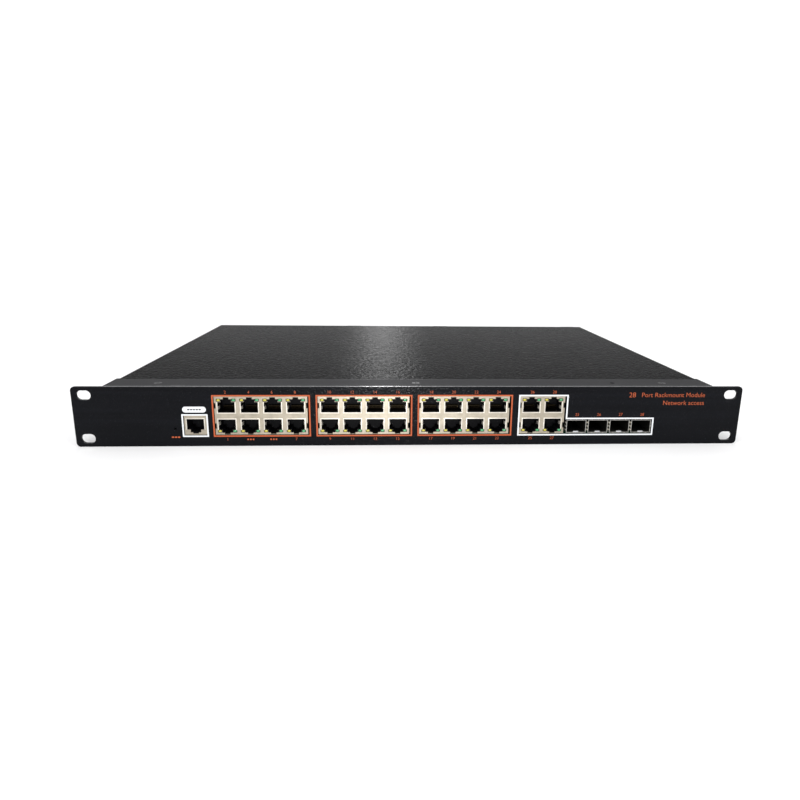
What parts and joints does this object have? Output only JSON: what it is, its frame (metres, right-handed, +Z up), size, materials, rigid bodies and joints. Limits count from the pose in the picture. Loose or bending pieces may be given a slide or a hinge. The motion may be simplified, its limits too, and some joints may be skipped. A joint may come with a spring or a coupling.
{
  "type": "rackmount network switch",
  "caption": "One-unit rackmount network switch with rows of network jacks, an optical module cage, a console jack, a mains inlet and cooling fans.",
  "frame": {"origin": "centre of the footprint on the underside, midway between the front panel's face and the end of the earth stud", "axes": "+X along the front panel to the right seen from the front, -Y out of the front panel, +Z up"},
  "size_m": [0.4826, 0.327, 0.044],
  "materials": {
    "panel_coat": "fine-textured black powder coat",
    "case_coat": "fine-textured black powder coat, satin",
    "tin_plate": "matt tin plate, warm grey",
    "nickel_cage": "bright nickel plate",
    "black_moulding": "black moulded thermoplastic",
    "lamp_yellow": "translucent yellow",
    "lamp_green": "translucent green",
    "gold_contact": "gold plate",
    "zinc_steel": "zinc plate",
    "dark_screw": "black zinc",
    "board_laminate": "green solder mask over glass laminate",
    "supply_laminate": "tan paper laminate",
    "chip_resin": "black moulded resin",
    "sink_aluminium": "extruded, lightly brushed",
    "capacitor_sleeve": "shrink sleeve with a bare metal top",
    "ferrite": "sintered grey-black ferrite",
    "header_nylon": "natural nylon",
    "insulator_film": "translucent film",
    "winding_tape": "yellow polyester tape over copper",
    "fuse_glass": "clear glass with nickel caps",
    "rocker_gloss": "glossy black",
    "brass_stud": "plain brass",
    "fan_resin": "black glass-filled resin",
    "lead_sleeve": "insulated leads"
  },
  "bodies": {
    "chassis": {"base_tray": "case_coat", "board_capacitors": "capacitor_sleeve", "board_chips": "chip_resin", "board_coils": "ferrite", "board_heatsinks": "sink_aluminium", "board_pillars": "zinc_steel", "board_screws": "zinc_steel", "bracket_left": "case_coat", "bracket_right": "case_coat", "bracket_screws": "dark_screw", "console_insert": "black_moulding", "console_shield": "tin_plate", "cover_screws": "dark_screw", "fan_frame_1": "black_moulding", "fan_frame_2": "black_moulding", "fan_guards": "zinc_steel", "front_panel": "panel_coat", "ground_nut": "brass_stud", "ground_stud": "brass_stud", "inlet_pins": "zinc_steel", "inner_leads": "lead_sleeve", "jack_contacts": "gold_contact", "lead_headers": "header_nylon", "line_transformers": "chip_resin", "lip_screws": "dark_screw", "main_board": "board_laminate", "panel_nuts": "zinc_steel", "port_block_1_insert": "black_moulding", "port_block_1_shield": "tin_plate", "port_block_2_insert": "black_moulding", "port_block_2_shield": "tin_plate", "port_block_3_insert": "black_moulding", "port_block_3_shield": "tin_plate", "port_block_4_insert": "black_moulding", "port_block_4_shield": "tin_plate", "port_lamps_green": "lamp_green", "port_lamps_yellow": "lamp_yellow", "power_inlet": "black_moulding", "power_switch_body": "black_moulding", "rear_screws": "dark_screw", "reset_switch_body": "black_moulding", "sfp_cage": "nickel_cage", "sfp_connectors": "black_moulding", "sfp_gasket": "nickel_cage", "supply_board": "supply_laminate", "supply_capacitors": "capacitor_sleeve", "supply_choke": "ferrite", "supply_heatsinks": "sink_aluminium", "supply_insulator": "insulator_film", "supply_transformer": "ferrite", "supply_winding": "winding_tape", "switch_chip": "chip_resin", "top_cover": "case_coat"},
    "reset_button": {"reset_button": "black_moulding"},
    "power_rocker": {"power_rocker": "rocker_gloss"},
    "fuse_drawer": {"fuse_drawer": "black_moulding", "fuse": "fuse_glass"},
    "fan_rotor_1": {"fan_rotor_1": "fan_resin"},
    "fan_rotor_2": {"fan_rotor_2": "fan_resin"}
  },
  "joints": [
    {"name": "reset_press", "type": "slide", "parent": "chassis", "child": "reset_button", "axis": [0, 1, 0], "range_m": [0, 0.0003], "stiffness_N_per_m": 400},
    {"name": "rocker_tilt", "type": "hinge", "parent": "chassis", "child": "power_rocker", "pos_m": [-0.122, 0.1515, 0.022], "axis": [-1, 0, 0], "range_deg": [0, 18]},
    {"name": "fuse_drawer_pull", "type": "slide", "parent": "chassis", "child": "fuse_drawer", "axis": [0, 1, 0], "range_m": [0, 0.016]},
    {"name": "fan_1_spin", "type": "hinge", "parent": "chassis", "child": "fan_rotor_1", "pos_m": [0.112, 0.1425, 0.022], "axis": [0, 1, 0], "continuous": true},
    {"name": "fan_2_spin", "type": "hinge", "parent": "chassis", "child": "fan_rotor_2", "pos_m": [0.16, 0.1425, 0.022], "axis": [0, 1, 0], "continuous": true}
  ]
}
